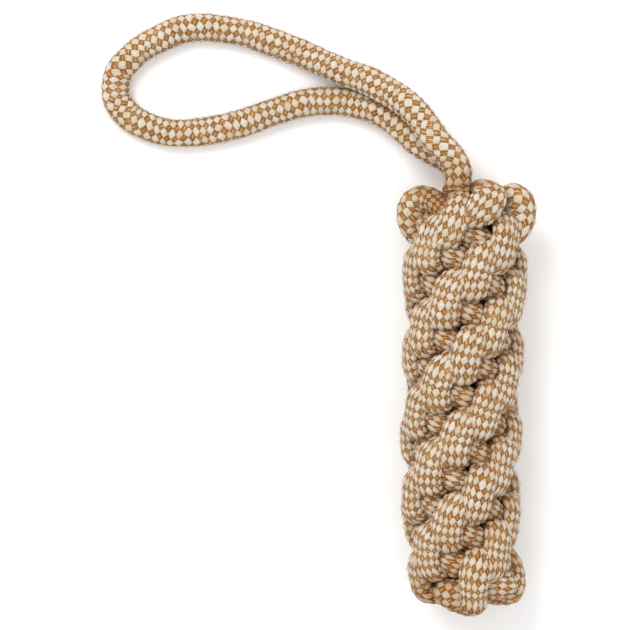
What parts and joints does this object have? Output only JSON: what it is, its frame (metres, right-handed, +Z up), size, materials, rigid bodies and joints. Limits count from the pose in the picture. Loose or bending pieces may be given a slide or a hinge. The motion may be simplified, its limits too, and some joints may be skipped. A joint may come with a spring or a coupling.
{
  "type": "rope_dog_toy",
  "caption": "Knotted rope dog toy: a thick stick of crowned braided rope with a swinging loop handle of the same rope",
  "frame": {"origin": "centre of the footprint, on the surface that the toy lies on", "axes": "+Z up, +Y towards the handle end of the stick, +X to the right seen from above with the handle at the top"},
  "size_m": [0.1892, 0.2618, 0.0512],
  "materials": {
    "rope": "two-colour diamond braid, cream and golden tan yarns, matt and slightly hairy"
  },
  "bodies": {
    "stick": {"handle_strand_upper": "rope", "handle_strand_lower": "rope", "cross_rope": "rope", "neck_upper": "rope", "neck_lower": "rope"},
    "handle": {"handle_loop": "rope"}
  },
  "joints": [
    {"name": "handle_swing", "type": "hinge", "parent": "stick", "child": "handle", "pos_m": [0.06129, 0.05995, 0.025], "axis": [0, 0, 1], "range_deg": [-50, 25], "deforming": ["neck_upper", "neck_lower"]}
  ]
}
